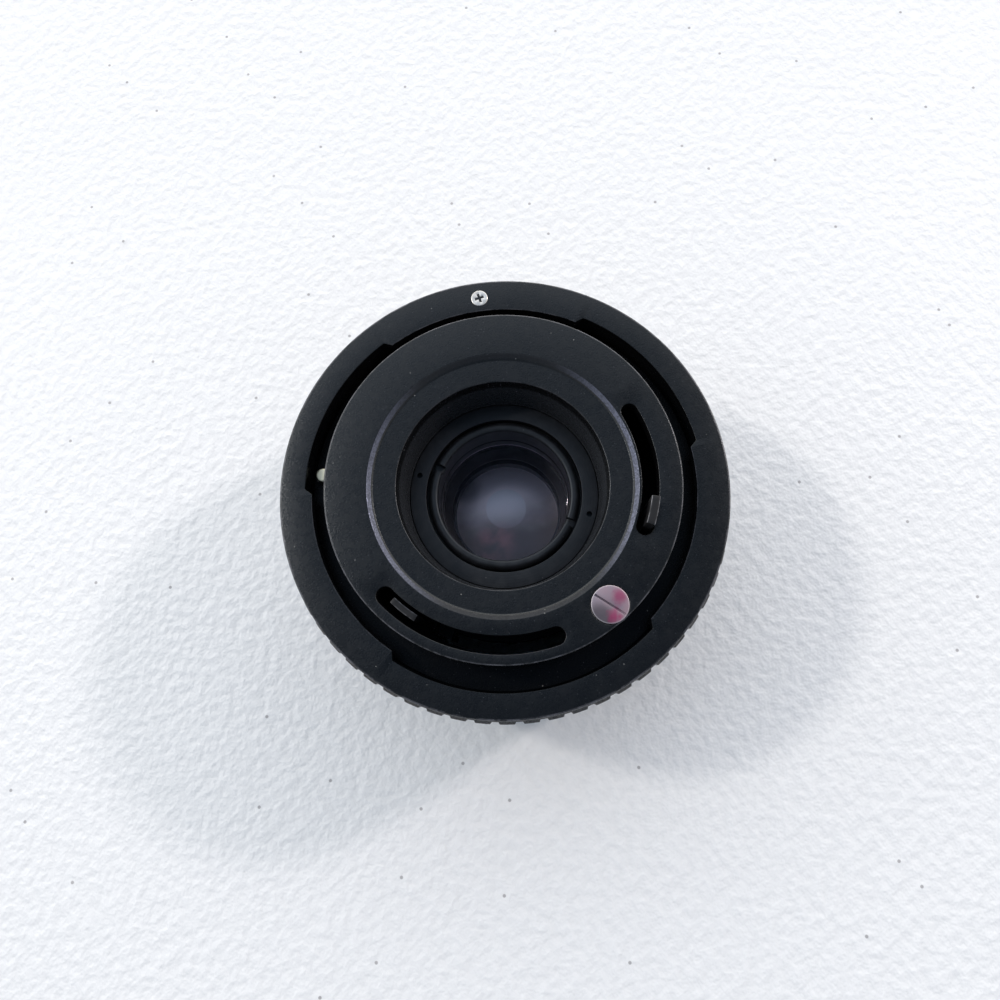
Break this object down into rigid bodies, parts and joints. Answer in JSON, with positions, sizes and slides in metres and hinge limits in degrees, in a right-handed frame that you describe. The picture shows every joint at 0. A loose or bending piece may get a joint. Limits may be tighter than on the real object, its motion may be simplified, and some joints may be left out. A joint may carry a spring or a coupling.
{
  "type": "teleconverter",
  "caption": "Short black camera-lens extender with a breech-lock ring and bent levers behind, a bayonet throat in front and a deep glass well.",
  "frame": {"origin": "on the optical axis, at the rest face of the front mount, which it stands on", "axes": "+Z along the optical axis from the lens side to the camera side; +Y towards the index screw"},
  "size_m": [0.0626, 0.0626, 0.0402],
  "materials": {
    "black_anodised": "matt black anodised",
    "bright_steel": "satin",
    "screw_steel": "polished, worn",
    "black_steel": "blackened",
    "dark_aluminium": "dull black",
    "brass": "turned",
    "spring_steel": "drawn wire",
    "lens_glass": "polished, coated",
    "red_paint": "gloss"
  },
  "bodies": {
    "housing": {"front_mount": "bright_steel", "front_mount_screws": "bright_steel", "main_barrel": "black_anodised", "front_index_bead": "red_paint", "body_screws": "bright_steel", "inner_chassis": "dark_aluminium", "rear_body": "black_anodised", "rear_cover": "black_anodised", "cover_screws": "bright_steel", "index_screw": "screw_steel", "release_spring": "spring_steel", "release_plug": "brass", "aperture_spring": "spring_steel", "signal_spring": "spring_steel", "lower_spacer": "brass", "middle_spacer": "brass", "carrier_clip": "spring_steel", "spring_posts": "bright_steel", "optical_tube": "black_anodised", "tube_ring": "black_anodised", "rear_element_ring": "black_anodised", "front_element_ring": "black_anodised", "front_element": "lens_glass", "second_element": "lens_glass", "third_element": "lens_glass", "rear_element": "lens_glass", "middle_lens_spacer": "dark_aluminium", "rear_lens_spacer": "dark_aluminium"},
    "ring": {"breech_ring": "black_anodised", "ring_keeper": "bright_steel", "ring_screw": "screw_steel"},
    "aperture": {"aperture_carrier": "dark_aluminium", "aperture_rear_lever": "black_steel", "aperture_front_lever": "black_steel", "aperture_rivets": "bright_steel"},
    "signal": {"signal_carrier": "dark_aluminium", "signal_rear_lever": "black_steel", "signal_front_lever": "black_steel", "signal_rivets": "bright_steel"},
    "pin": {"release_pin": "screw_steel"}
  },
  "joints": [
    {"name": "ring_turn", "type": "hinge", "parent": "housing", "child": "ring", "pos_m": [0, 0, 0.0275], "axis": [0, 0, 1], "range_deg": [0, 55]},
    {"name": "aperture_turn", "type": "hinge", "parent": "housing", "child": "aperture", "pos_m": [0, 0, 0.0227], "axis": [0, 0, 1], "range_deg": [0, 36], "stiffness_Nm_per_rad": 0.004, "springref_deg": -22.92, "deforming": ["aperture_spring"]},
    {"name": "signal_turn", "type": "hinge", "parent": "housing", "child": "signal", "pos_m": [0, 0, 0.0177], "axis": [0, 0, 1], "range_deg": [0, 50], "stiffness_Nm_per_rad": 0.004, "springref_deg": -22.92, "deforming": ["signal_spring"]},
    {"name": "pin_press", "type": "slide", "parent": "housing", "child": "pin", "axis": [0, 0, -1], "range_m": [0, 0.0019], "stiffness_N_per_m": 200, "springref_m": -0.0015, "deforming": ["release_spring"]}
  ]
}
